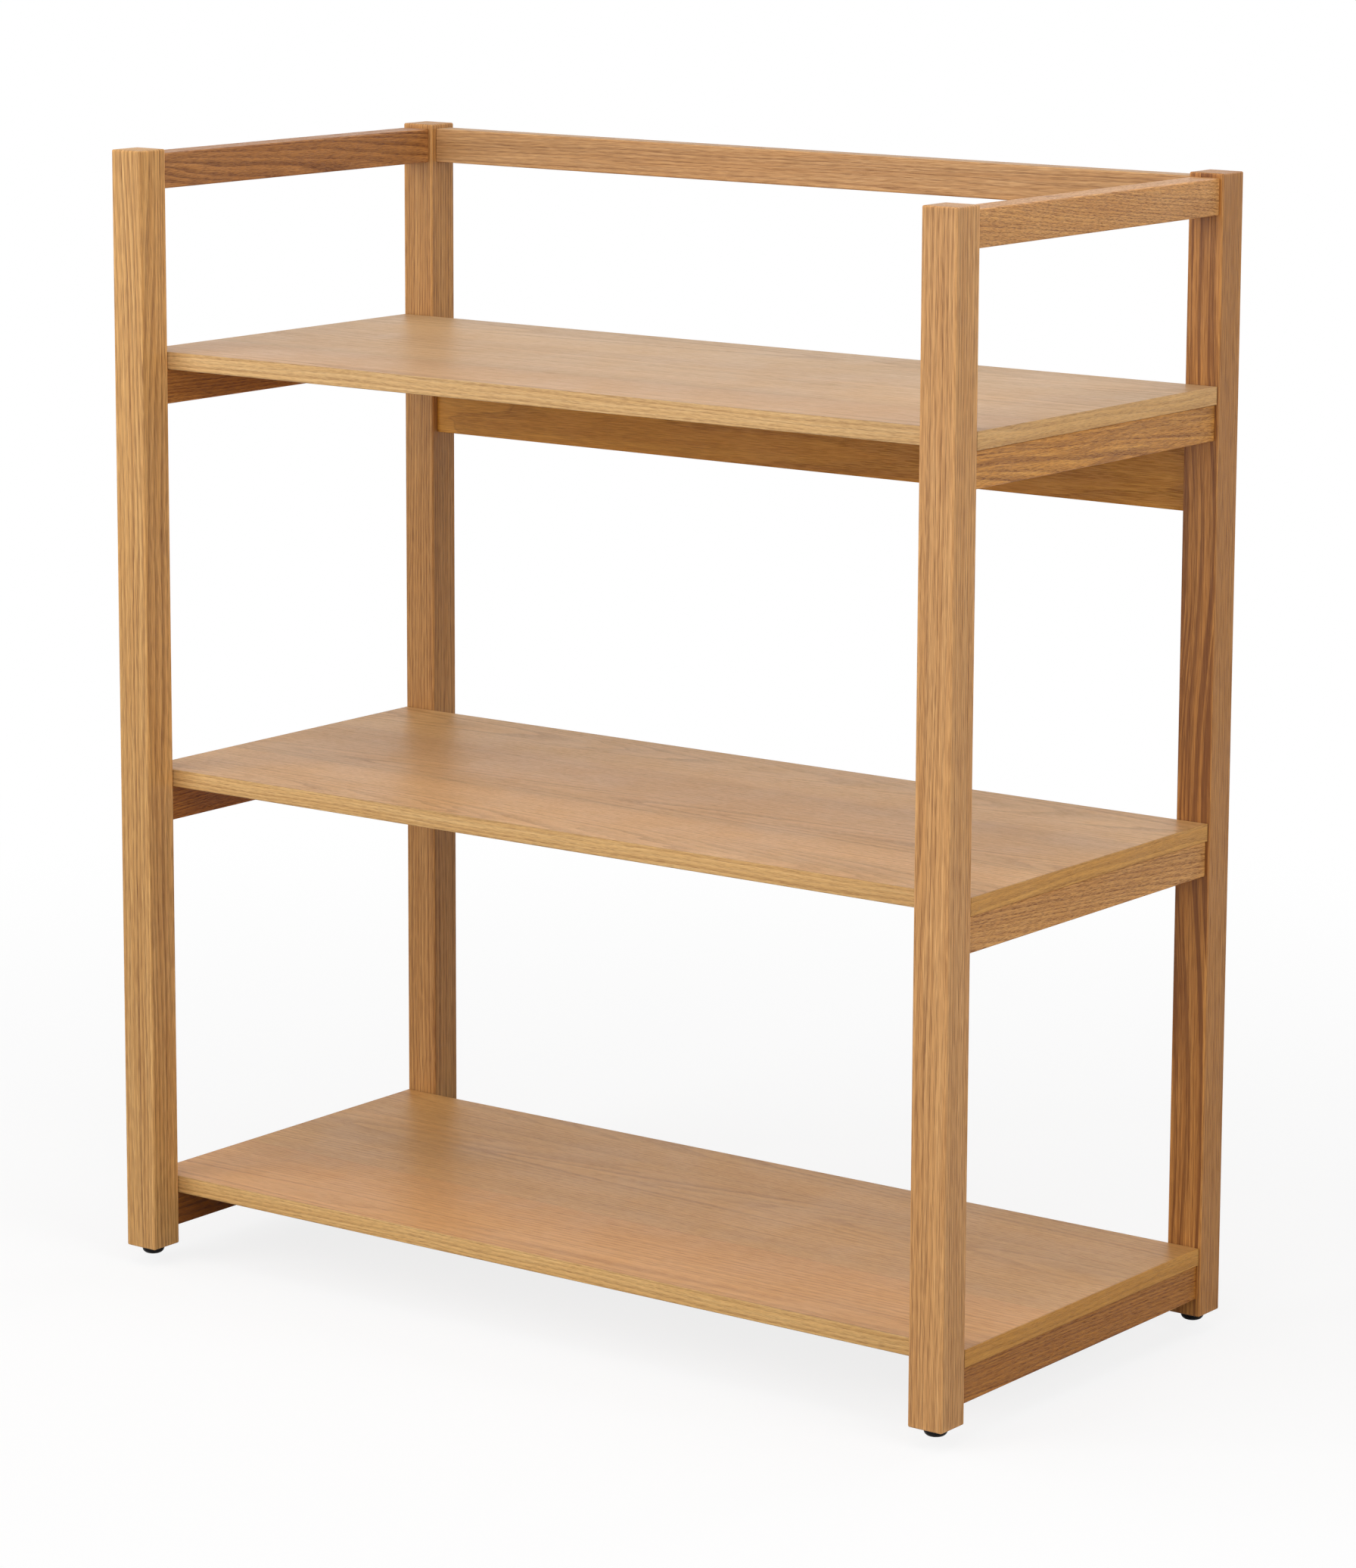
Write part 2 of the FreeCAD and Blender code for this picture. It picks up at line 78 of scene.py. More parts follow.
# The lower rails and the left rails under the shelves have darker, more saturated tints: painted shade under
# the shelves, on top of the wood's own tone
SIDE_RAILS = {
    "left_lower_rail": Board("Y", 0.72, 0.060, 0.040, 0.02, 0.0028, 0.70, 0.20, (0.5, 0.31, 0.09)),
    "left_middle_rail": Board("Y", 1.91, 0.050, 0.060, -0.02, 0.0028, 0.65, 0.20, (0.675, 0.45, 0.115)),
    "left_upper_rail": Board("Y", 3.13, 0.045, 0.070, 0.02, 0.0028, 0.65, 0.20, (0.80, 0.62, 0.33)),
    "left_top_rail": Board("Y", 4.26, 0.070, 0.030, 0.03, 0.0024, 0.70, 0.30, (0.745, 0.637, 0.534)),
    "right_lower_rail": Board("Y", 5.38, 0.055, 0.050, 0.02, 0.0028, 0.62, 0.15, (0.73, 0.555, 0.24)),
    "right_middle_rail": Board("Y", 6.47, 0.065, 0.040, 0.04, 0.0025, 0.50, 0.10, (1.08, 1.02, 0.86)),
    "right_upper_rail": Board("Y", 7.59, 0.042, 0.030, 0.02, 0.0030, 0.55, 0.55, (1.01, 0.9, 0.59)),
    "right_top_rail": Board("Y", 8.83, 0.040, 0.060, 0.08, 0.0026, 0.48, 0.15, (1.06, 1.01, 0.91)),
}
BACK_RAILS = {
    "back_top_rail": Board("X", 1.37, 0.050, 0.075, 0.02, 0.0028, 0.42, 0.15, (0.87, 0.935, 1.11)),
    # The deep rail's darker, golden tint is painted shade and painted bounced light under the upper shelf, on
    # top of its own tone
    "back_deep_rail": Board("X", 4.81, 0.160, 0.030, 0.01, 0.0032, 0.38, 0.05, (0.86, 0.755, 0.29)),
}
# One shelf: the log its veneer was sliced from, and how much of each colour its faces, its long
# edges and its ends keep. These tints are partly the wood's own and partly painted light: darker and
# more saturated from the upper shelf down, most at the lower ends, as painted shade, and paler and
# bluer on the upper shelf as a painted sheen.
Shelf = namedtuple("Shelf", "log face edge end")
SHELVES = {
    "lower": Shelf(11.35, (1.03, 0.915, 0.69), (1.02, 1.01, 1.01), (0.885, 0.685, 0.33)),
    "middle": Shelf(15.48, (1.06, 1.07, 1.00), (1.04, 1.03, 1.07), (0.915, 0.75, 0.46)),
    "upper": Shelf(19.61, (0.93, 0.96, 1.06), (1.02, 1.05, 1.20), (1.06, 1.01, 1.03)),
}
# The turn that brings each grain axis onto X, the axes that a slant of the grain is added to, and how
# close together the marks lie: the posts' wood has longer marks than the rails'
GRAIN_TURNS = {
    "X": (Vector((0.0, 0.0, 0.0)), Vector((0.0, 1.0, 1.0)), Vector((1.0, 1.0, 1.0))),
    "Y": (Vector((0.0, 0.0, -math.pi / 2)), Vector((1.0, 0.0, 1.0)), Vector((1.0, 1.0, 1.0))),
    "Z": (Vector((0.0, math.pi / 2, 0.0)), Vector((0.0, 1.0, 1.0)), Vector((1.0, 1.0, 0.65))),
}
# How closely the pores follow each other along each grain axis, and how strongly they show: long and
# faint in the back rails and the posts, short and dark in the side rails
FLECKS = {"X": (0.45, 0.66), "Y": (1.0, 1.0), "Z": (0.52, 0.84)}
# The axis of each board that its streaked faces look along
STREAKED = {"X": 1, "Y": 0, "Z": 1}
# Each soft lamp's place, width, height and share of the light
LAMPS = {
    "key_lamp": ((-1.5, -2.9, 1.9), 2.2, 3.6, 0.304),
    "front_lamp": ((1.4, -3.2, 1.6), 2.2, 2.2, 0.147),
    "right_lamp": ((3.1, -0.6, 1.5), 2.2, 2.2, 0.200),
    "left_lamp": ((-3.1, -0.6, 1.5), 2.2, 2.2, 0.103),
    "back_lamp": ((0.5, 3.2, 1.8), 2.2, 2.2, 0.127),
    "top_lamp": ((0.2, -0.4, 3.2), 2.2, 2.2, 0.127),
}
WHITE = (1.0, 1.0, 1.0, 1.0)
# Pores to the metre, along the grain and across it both ways
FINE_PORES = (130.0, 1900.0, 2500.0)
COARSE_PORES = (70.0, 1100.0, 1500.0)
# How strongly the rings and the pores show in veneer, and the tints between which its leaves vary
VENEER_RINGS = 0.38
VENEER_PORES = 0.54
WARM_LEAF = (1.03, 0.985, 0.95, 1.0)
COOL_LEAF = (0.97, 1.02, 1.02, 1.0)
# How far in from its edges a board is worn and carries a painted highlight, and by what share it is lighter
# there, from the wear and the painted highlight
EDGE_WEAR_AND_HIGHLIGHT_WIDTH = 0.0042
EDGE_WEAR_AND_HIGHLIGHT_LIGHTER = 0.14
# Colour of zinc gone dull, and the depth of the lines that drawing leaves in the steel
DULL_ZINC = (0.36, 0.35, 0.32, 1.0)
DRAWN_DEPTH = 0.00002
# Profile of a thread over one pitch: flanks of this slope to this peak, cut off flat at root and crest
FLANK_PEAK = 1.25
FLANK_SLOPE = 2.6
SHARP_ANGLE = math.radians(35)


def colour(name, description, default):
    """Describe one colour that a user may change."""
    return FloatVectorProperty(name=name, description=description, default=(*default, 1.0), size=4,
                               min=0.0, max=1.0, subtype="COLOR")


def length(name, description, default):
    """Describe one length in metres."""
    return FloatProperty(name=name, description=description, default=default, min=0.0,
                         unit="LENGTH", subtype="DISTANCE")


def share(name, description, default):
    """Describe one share between 0 and 1."""
    return FloatProperty(name=name, description=description, default=default, min=0.0, max=1.0,
                         subtype="FACTOR")


class OakFinish(bpy.types.PropertyGroup):
    """Colours and grain of the oak."""
    solid_tan: colour("Solid oak", "Main colour of the posts and rails", (0.578, 0.283, 0.091))
    solid_pale: colour("Pale wood", "Pale late wood of the posts and rails", (0.742, 0.412, 0.157))
    solid_dark: colour("Dark grain", "Dark early wood and pores of the solid oak", (0.17, 0.055, 0.015))
    veneer_tan: colour("Veneer", "Main colour of the shelves' faces", (0.605, 0.337, 0.143))
    veneer_pale: colour("Pale veneer", "Pale late wood of the shelves' faces", (0.693, 0.42, 0.195))
    veneer_dark: colour("Dark veneer grain", "Dark grain of the shelves' faces", (0.27, 0.115, 0.040))
    edging_tan: colour("Edging", "Main colour of the shelves' edging", (0.635, 0.368, 0.127))
    edging_pale: colour("Pale edging", "Pale wood of the edging", (0.755, 0.487, 0.20))
    edging_dark: colour("Dark edging grain", "Dark grain of the edging", (0.24, 0.10, 0.026))
    veneer_ring: length("Veneer ring width", "Width of one year's growth in the veneer", 0.0031)
    leaf_width: length("Leaf width", "Width of one leaf of veneer on a shelf", 0.131)
    lacquer: share("Lacquer roughness", "Roughness of the satin lacquer", 0.40)
    gloss: share("Lacquer gloss", "Strength of the lacquer's gloss", 0.285)
    grain_depth: length("Grain depth", "Depth of the open pores", 0.00012)


class HardwareFinish(bpy.types.PropertyGroup):
    """Colours and sizes of the feet and the hidden hardware."""
    plastic: colour("Black plastic", "Colour of the moulded feet", (0.004, 0.004, 0.004))
    zinc: colour("Zinc", "Colour of the plated steel", (0.60, 0.60, 0.58))
    beech: colour("Beech", "Colour of the dowels", (0.56, 0.36, 0.20))
    board: colour("Board", "Colour of the shelves' chipboard", (0.42, 0.28, 0.15))
    thread_pitch: length("Thread pitch", "Pitch of the feet's studs", 0.001)
    thread_depth: length("Thread depth", "Depth of the studs' thread", 0.00054)


class Studio(bpy.types.PropertyGroup):
    """Camera, lamps and floor."""
    lens: FloatProperty(name="Lens", description="Focal length of the camera", default=120.817,
                        min=1.0, unit="CAMERA")
    lamp_power: FloatProperty(name="Lamps", description="Power of all the soft lamps together",
                              default=237.0, min=0.0, unit="POWER")
    ambient: share("Ambient light", "Strength of the even light from all round", 0.06)
    floor: colour("Floor", "Colour of the floor as the object is lit by it", (0.42, 0.42, 0.42))


class RackLooks(bpy.types.PropertyGroup):
    """All that a user may change."""
    oak: PointerProperty(type=OakFinish)
    hardware: PointerProperty(type=HardwareFinish)
    studio: PointerProperty(type=Studio)


class NodeTree:
    """A node tree with short ways to add and link its nodes."""

    def __init__(self, tree):
        self.tree = tree

    def feed(self, socket, value):
        """Link a socket to another one, or set its value."""
        if isinstance(value, bpy.types.NodeSocket):
            self.tree.links.new(value, socket)
        else:
            socket.default_value = value

    def node(self, kind, inputs, **settings):
        """Add a node, set it up and feed its inputs."""
        made = self.tree.nodes.new(f"ShaderNode{kind}")
        for name, value in settings.items():
            setattr(made, name, value)
        for key, value in inputs.items():
            self.feed(made.inputs[key], value)
        return made

    def group(self, group, **inputs):
        """Place a node group. An underscore in a name stands for a space."""
        made = self.tree.nodes.new("ShaderNodeGroup")
        made.node_tree = group
        for name, value in inputs.items():
            self.feed(made.inputs[name.replace("_", " ")], value)
        return made

    def math(self, operation, *values):
        """Work out one number."""
        return self.node("Math", dict(enumerate(values)), operation=operation).outputs["Value"]

    def vector(self, operation, *values):
        """Work out one vector."""
        return self.node("VectorMath", dict(enumerate(values)), operation=operation).outputs["Vector"]

    def distance(self, value):
        """Length of a vector."""
        return self.node("VectorMath", {0: value}, operation="LENGTH").outputs["Value"]

    def parts(self, value):
        """The three numbers of a vector."""
        return self.node("SeparateXYZ", {"Vector": value}).outputs[:]

    def joined(self, x, y, z):
        """A vector of three numbers."""
        return self.node("CombineXYZ", {"X": x, "Y": y, "Z": z}).outputs["Vector"]

    def noise(self, vector, stretch, detail=2.0, roughness=0.5, distortion=0.0):
        """Soft noise, with this many waves to the metre along each axis."""
        inputs = {"Vector": self.vector("MULTIPLY", vector, stretch), "Scale": 1.0, "Detail": detail,
                  "Roughness": roughness, "Distortion": distortion}
        return self.node("TexNoise", inputs).outputs["Fac"]

    def dashes(self, vector, stretch, inner, outer):
        """Mask of scattered dashes, with this many to the metre along each axis."""
        inputs = {"Vector": self.vector("MULTIPLY", vector, stretch), "Scale": 1.0}
        nearest = self.node("TexVoronoi", inputs, feature="F1").outputs["Distance"]
        return self.ramp(nearest, inner, outer, 1.0, 0.0)

    def chance(self, value):
        """One random number from 0 to 1 for each value."""
        return self.node("TexWhiteNoise", {"W": value}, noise_dimensions="1D").outputs["Value"]

    def ramp(self, value, low, high, bottom=0.0, top=1.0):
        """Ease from bottom to top as a value goes from low to high."""
        inputs = {"Value": value, "From Min": low, "From Max": high, "To Min": bottom, "To Max": top}
        return self.node("MapRange", inputs, interpolation_type="SMOOTHSTEP").outputs["Result"]

    def blend(self, factor, first, second):
        """Mix two colours."""
        mix = self.node("Mix", {0: factor, 6: first, 7: second}, data_type="RGBA")
        return mix.outputs[2]

    def scaled(self, tint, factor):
        """Make a colour lighter or darker by a factor."""
        mix = self.node("Mix", {0: 1.0, 6: tint, 7: factor}, data_type="RGBA", blend_type="MULTIPLY")
        return mix.outputs[2]


def new_group(name, inputs, outputs):
    """Start a node group, and return its tree, the sockets that come in and the node they go out by."""
    group = bpy.data.node_groups.new(name, "ShaderNodeTree")
    for label, kind in inputs.items():
        group.interface.new_socket(label, in_out="INPUT", socket_type=f"NodeSocket{kind}")
    for label, kind in outputs.items():
        group.interface.new_socket(label, in_out="OUTPUT", socket_type=f"NodeSocket{kind}")
    tree = NodeTree(group)
    coming_in = group.nodes.new("NodeGroupInput").outputs
    going_out = group.nodes.new("NodeGroupOutput").inputs
    return tree, coming_in, going_out


def found_group(name, make):
    """Find a node group by its name, or make it once."""
    return bpy.data.node_groups.get(name) or make(name)


def make_oak_grain(name):
    """Oak cut from a log whose heart is the X axis: rings, tone bands, fibres and open pores."""
    tree, given, result = new_group(
        name,
        {"Vector": "Vector", "Tan": "Color", "Pale": "Color", "Dark": "Color", "Ring Width": "Float",
         "Rings": "Float", "Streaks": "Float", "Pores": "Float", "Flecks": "Float", "Tone": "Float"},
        {"Color": "Color", "Height": "Float", "Open": "Float"})
    place = given["Vector"]
    across = tree.vector("MULTIPLY", place, (0.0, 1.0, 1.0))
    wander = tree.noise(place, (2.2, 22.0, 22.0), 2.0)
    ripple = tree.noise(place, (9.0, 90.0, 90.0), 2.0)
    bend = tree.math("MULTIPLY_ADD", wander, 0.020, tree.math("MULTIPLY", ripple, 0.0022))
    years = tree.math("DIVIDE", tree.math("ADD", tree.distance(across), bend), given["Ring Width"])
    uneven = tree.noise(tree.joined(years, 0.0, 0.0), (0.37, 1.0, 1.0), 1.0)
    years = tree.math("MULTIPLY_ADD", uneven, 1.6, years)
    season = tree.math("FRACT", years)
    strength = tree.math("MULTIPLY_ADD", tree.chance(tree.math("FLOOR", years)), 0.65, 0.35)
    fading = tree.ramp(season, 0.05, 0.75, 1.0, 0.0)
    rising = tree.ramp(season, 0.93, 1.0)
    early = tree.math("MULTIPLY", tree.math("MAXIMUM", fading, rising), strength)

    tone = tree.noise(place, (1.6, 16.0, 16.0), 2.0)
    band = tree.ramp(tree.noise(place, (1.3, 150.0, 150.0), 3.0, 0.6), 0.30, 0.72)
    fibre = tree.noise(place, (15.0, 1100.0, 1100.0), 2.0, 0.6)
    x, y, z = tree.parts(place)
    lean = tree.noise(tree.joined(x, 0.0, 0.0), (2.8, 1.0, 1.0), 1.0)
    leaning = tree.math("MULTIPLY_ADD", lean, 0.110, z)
    flame = tree.noise(tree.joined(x, y, leaning), (2.6, 2.0, 130.0), 5.0, 0.68)
    feather = tree.ramp(fibre, 0.35, 0.62, 0.75, 1.0)
    wild = tree.math("MULTIPLY", tree.ramp(flame, 0.45, 0.57), feather)
    flecked = tree.joined(tree.math("MULTIPLY", x, given["Flecks"]), y, z)
    fine = tree.dashes(flecked, FINE_PORES, 0.26, 0.44)
    coarse = tree.dashes(flecked, COARSE_PORES, 0.23, 0.40)
    dashes = tree.math("MAXIMUM", fine, coarse)
    pores = tree.math("MULTIPLY", dashes, tree.math("MULTIPLY_ADD", early, 0.50, 0.50))
    pores = tree.math("MULTIPLY", pores, given["Pores"])

    pale_share = tree.math("MULTIPLY_ADD", band, 0.45, tree.ramp(fibre, 0.48, 0.68, 0.0, 0.55))
    wood = tree.blend(pale_share, given["Tan"], given["Pale"])
    ring_share = tree.math("MULTIPLY", early, given["Rings"])
    wild_share = tree.math("MULTIPLY", wild, given["Streaks"])
    wood = tree.blend(tree.math("MAXIMUM", ring_share, wild_share), wood, given["Dark"])
    wood = tree.blend(tree.math("MULTIPLY", pores, 0.90), wood, given["Dark"])
    level = tree.math("MULTIPLY", given["Tone"], tree.ramp(tone, 0.25, 0.75, 0.92, 1.08))
    tree.feed(result["Color"], tree.scaled(wood, level))
    relief = tree.math("MULTIPLY_ADD", fibre, 0.25, tree.math("MULTIPLY", early, -0.25))
    tree.feed(result["Height"], tree.math("SUBTRACT", relief, pores))
    tree.feed(result["Open"], pores)
    return tree.tree


def make_veneer_leaves(name):
    """Sliced oak laid in leaves side by side, each with its own figure and tint."""
    tree, given, result = new_group(
        name,
        {"Vector": "Vector", "Tan": "Color", "Pale": "Color", "Dark": "Color", "Ring Width": "Float",
         "Leaf Width": "Float", "Log": "Float"},
        {"Color": "Color", "Height": "Float", "Open": "Float"})
    x, y, _ = tree.parts(given["Vector"])
    leaves = tree.math("ADD", tree.math("DIVIDE", y, given["Leaf Width"]), given["Log"])
    leaf = tree.math("FLOOR", leaves)
    from_middle = tree.math("MULTIPLY", tree.math("SUBTRACT", tree.math("FRACT", leaves), 0.5),
                            given["Leaf Width"])
    chance_a = tree.chance(tree.math("ADD", leaf, given["Log"]))
    chance_b = tree.chance(tree.math("ADD", chance_a, 3.7))
    chance_c = tree.chance(tree.math("ADD", chance_b, 5.1))
    along = tree.math("MULTIPLY_ADD", leaf, 2.3, tree.math("MULTIPLY", x, 0.6))
    across = tree.math("ADD", from_middle, tree.math("MULTIPLY_ADD", chance_a, 0.10, -0.05))
    slope = tree.math("MULTIPLY_ADD", chance_b, 0.10, -0.05)
    depth = tree.math("MULTIPLY_ADD", x, slope, tree.math("MULTIPLY_ADD", chance_c, 0.03, 0.035))
    grain = tree.group(found_group("Oak grain", make_oak_grain),
                       Vector=tree.joined(along, across, depth), Tan=given["Tan"], Pale=given["Pale"],
                       Dark=given["Dark"], Ring_Width=given["Ring Width"], Rings=VENEER_RINGS,
                       Streaks=0.0, Pores=VENEER_PORES, Flecks=1.0,
                       Tone=tree.math("MULTIPLY_ADD", chance_b, 0.15, 0.94))
    tint = tree.blend(chance_c, WARM_LEAF, COOL_LEAF)
    tree.feed(result["Color"], tree.vector("MULTIPLY", grain.outputs["Color"], tint))
    tree.feed(result["Height"], grain.outputs["Height"])
    tree.feed(result["Open"], grain.outputs["Open"])
    return tree.tree


def make_worn_edges(name):
    """Mask of the edges of a box-shaped piece, broken up as handling breaks them up."""
    tree, given, result = new_group(
        name, {"Vector": "Vector", "Centre": "Vector", "Half": "Vector", "Width": "Float"},
        {"Mask": "Float"})
    off_centre = tree.vector("ABSOLUTE", tree.vector("SUBTRACT", given["Vector"], given["Centre"]))
    to_face = tree.parts(tree.vector("SUBTRACT", given["Half"], off_centre))
    near = [tree.ramp(tree.math("DIVIDE", gap, given["Width"]), 0.0, 1.0, 1.0, 0.0) for gap in to_face]
    pairs = [tree.math("MULTIPLY", near[a], near[b]) for a, b in ((0, 1), (1, 2), (0, 2))]
    edge = tree.math("MAXIMUM", tree.math("MAXIMUM", pairs[0], pairs[1]), pairs[2])
    broken = tree.ramp(tree.noise(given["Vector"], (70.0, 70.0, 70.0), 3.0, 0.65), 0.30, 0.65, 0.35, 1.0)
    tree.feed(result["Mask"], tree.math("MULTIPLY", edge, broken))
    return tree.tree


def make_satin_film(name):
    """Roughness of a brushed satin film, uneven from handling and rougher where pores are open."""
    tree, given, result = new_group(
        name, {"Vector": "Vector", "Base": "Float", "Open": "Float", "Worn": "Float"},
        {"Roughness": "Float"})
    cloudy = tree.noise(given["Vector"], (14.0, 14.0, 14.0), 3.0, 0.6)
    rough = tree.math("ADD", given["Base"], tree.ramp(cloudy, 0.3, 0.7, -0.035, 0.035))
    rough = tree.math("MULTIPLY_ADD", given["Open"], 0.18, rough)
    tree.feed(result["Roughness"], tree.math("MULTIPLY_ADD", given["Worn"], 0.06, rough))
    return tree.tree


def make_plated_steel(name):
    """Zinc plating: fine mottling, drawing lines along Z and dull spots."""
    tree, given, result = new_group(name, {"Vector": "Vector", "Zinc": "Color"},
                                    {"Color": "Color", "Roughness": "Float", "Height": "Float"})
    mottle = tree.noise(given["Vector"], (900.0, 900.0, 900.0), 3.0, 0.6)
    drawn = tree.noise(given["Vector"], (2600.0, 2600.0, 160.0), 2.0)
    dull = tree.ramp(tree.noise(given["Vector"], (240.0, 240.0, 240.0), 2.0), 0.52, 0.68)
    level = tree.ramp(mottle, 0.3, 0.7, 0.86, 1.05)
    plated = tree.blend(tree.math("MULTIPLY", dull, 0.35), tree.scaled(given["Zinc"], level), DULL_ZINC)
    tree.feed(result["Color"], plated)
    brushed = tree.ramp(drawn, 0.3, 0.7, 0.24, 0.38)
    tree.feed(result["Roughness"], tree.math("MULTIPLY_ADD", dull, 0.18, brushed))
    tree.feed(result["Height"], drawn)
    return tree.tree


def new_material(name):
    """Start a material with nothing in its tree."""
    material = bpy.data.materials.new(name)
    material.use_nodes = True
    material.node_tree.nodes.clear()
    return material, NodeTree(material.node_tree)


def finish_material(tree, height, bump_distance, bump_strength=1.0, **inputs):
    """Close a material with a bump from a height and one surface shader."""
    bump = tree.node("Bump", {"Height": height, "Distance": bump_distance, "Strength": bump_strength})
    sockets = {name.replace("_", " "): value for name, value in inputs.items()}
    shader = tree.node("BsdfPrincipled", {**sockets, "Normal": bump.outputs["Normal"]})
    tree.node("OutputMaterial", {"Surface": shader.outputs["BSDF"]})


def object_place(tree):
    """Position on the piece, in metres in its own frame."""
    return tree.node("TexCoord", {}).outputs["Object"]


def faces_along(tree, axis):
    """Mask of the faces that look along one axis of the piece."""
    normal = tree.parts(tree.node("TexCoord", {}).outputs["Normal"])
    return tree.ramp(tree.math("ABSOLUTE", normal[axis]), 0.5, 0.9)


def dress(node, material):
    """Give a piece of the frame one material."""
    mesh = NODES[node].data
    mesh.materials.clear()
    mesh.materials.append(material)


def box_of(node):
    """Centre and half size of a piece of the frame."""
    low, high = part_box(node)
    return (low + high) / 2, (high - low) / 2


def grain_place(tree, place, axis, slant, centre, heart):
    """Turn a piece's grain onto X and set the piece's centre this far off the log's heart."""
    turn, slanting, closeness = GRAIN_TURNS[axis]
    turned = Euler(turn + slant * slanting)
    shift = Vector(heart) - turned.to_matrix() @ (centre * closeness)
    inputs = {"Vector": place, "Rotation": turned, "Location": shift, "Scale": closeness}
    return tree.node("Mapping", inputs, vector_type="POINT").outputs["Vector"]


def tinted(colour_now, tint):
    """How a colour shows where only a part of its red, green and blue is kept."""
    return (*(whole * kept for whole, kept in zip(colour_now, tint)), 1.0)


def edge_mask(tree, place, node, width):
    """Mask of a box-shaped piece's edges, this wide."""
    centre, half = box_of(node)
    return tree.group(found_group("Worn edges", make_worn_edges), Vector=place, Centre=centre, Half=half,
                      Width=width).outputs["Mask"]


def lacquered(tree, place, wood, edges, lighter, oak, bump_strength=1.0):
    """Close a material of oak under satin lacquer, lighter by a share along its edges, or darker."""
    film = tree.group(found_group("Satin film", make_satin_film), Vector=place, Base=oak.lacquer,
                      Open=wood.outputs["Open"], Worn=edges)
    shaded = tree.scaled(wood.outputs["Color"], tree.math("MULTIPLY_ADD", edges, lighter, 1.0))
    finish_material(tree, wood.outputs["Height"], oak.grain_depth, bump_strength, Base_Color=shaded,
                    Roughness=film.outputs["Roughness"], Specular_IOR_Level=oak.gloss)


def oak_board(node, board, oak):
    """Make the material of one board of solid oak, with its edges lightly worn and lighter from the wear and
    a painted highlight.
    """
    material, tree = new_material(f"oak_{node}")
    place = object_place(tree)
    centre, _ = box_of(node)
    heart = (board.start, board.across, board.deep)
    flecks, pores = FLECKS[board.axis]
    grain = tree.group(
        found_group("Oak grain", make_oak_grain),
        Vector=grain_place(tree, place, board.axis, board.slant, centre, heart),
        Tan=tinted(oak.solid_tan, board.tint), Pale=tinted(oak.solid_pale, board.tint),
        Dark=tinted(oak.solid_dark, board.tint), Ring_Width=board.ring, Rings=board.contrast,
        Streaks=tree.math("MULTIPLY", faces_along(tree, STREAKED[board.axis]), board.streaks),
        Pores=pores, Flecks=flecks, Tone=1.0)
    # Edges lighter: partly wear, partly a painted highlight along the arrises
    lacquered(tree, place, grain, edge_mask(tree, place, node, EDGE_WEAR_AND_HIGHLIGHT_WIDTH), EDGE_WEAR_AND_HIGHLIGHT_LIGHTER, oak)
    return material


class RACK_OT_posts(bpy.types.Operator):
    """Finish the four posts in lacquered oak with upright grain"""
    bl_idname = "oak_rack.posts"
    bl_label = "Posts"

    def execute(self, context):
        for node, board in POSTS.items():
            dress(node, oak_board(node, board, context.scene.rack_looks.oak))
        return {"FINISHED"}


class RACK_OT_rails(bpy.types.Operator):
    """Finish the side rails and the back rails in lacquered oak, with the grain along each rail"""
    bl_idname = "oak_rack.rails"
    bl_label = "Rails"

    def execute(self, context):
        for node, board in {**SIDE_RAILS, **BACK_RAILS}.items():
            dress(node, oak_board(node, board, context.scene.rack_looks.oak))
        return {"FINISHED"}


class RACK_OT_veneers(bpy.types.Operator):
    """Finish the shelves' faces in oak veneer, laid in leaves along the shelf"""
    bl_idname = "oak_rack.veneers"
    bl_label = "Shelf veneers"

    # Width of the glue line, by what share it is lighter, how deep the grain is felt, and how much
    # further along the log the undersides were sliced
    seam = 0.0006
    seam_lighter = -0.35
    bump_strength = 0.6
    underside_log = 12.3

    def execute(self, context):
        oak = context.scene.rack_looks.oak
        for level, shelf in SHELVES.items():
            for face, further in (("top", 0.0), ("bottom", self.underside_log)):
                node = f"{level}_shelf_{face}_veneer"
                dress(node, self.veneer(node, oak, shelf.log + further, shelf.face))
        return {"FINISHED"}

    def veneer(self, node, oak, log, tint):
        """Make the veneer of one face, with a thin glue line along its border."""
        material, tree = new_material(f"oak_{node}")
        place = object_place(tree)
        leaves = tree.group(found_group("Veneer leaves", make_veneer_leaves), Vector=place,
                            Tan=tinted(oak.veneer_tan, tint), Pale=tinted(oak.veneer_pale, tint),
                            Dark=tinted(oak.veneer_dark, tint),
                            Ring_Width=oak.veneer_ring, Leaf_Width=oak.leaf_width, Log=log)
        border = edge_mask(tree, place, node, self.seam)
        lacquered(tree, place, leaves, border, self.seam_lighter, oak, self.bump_strength)
        return material


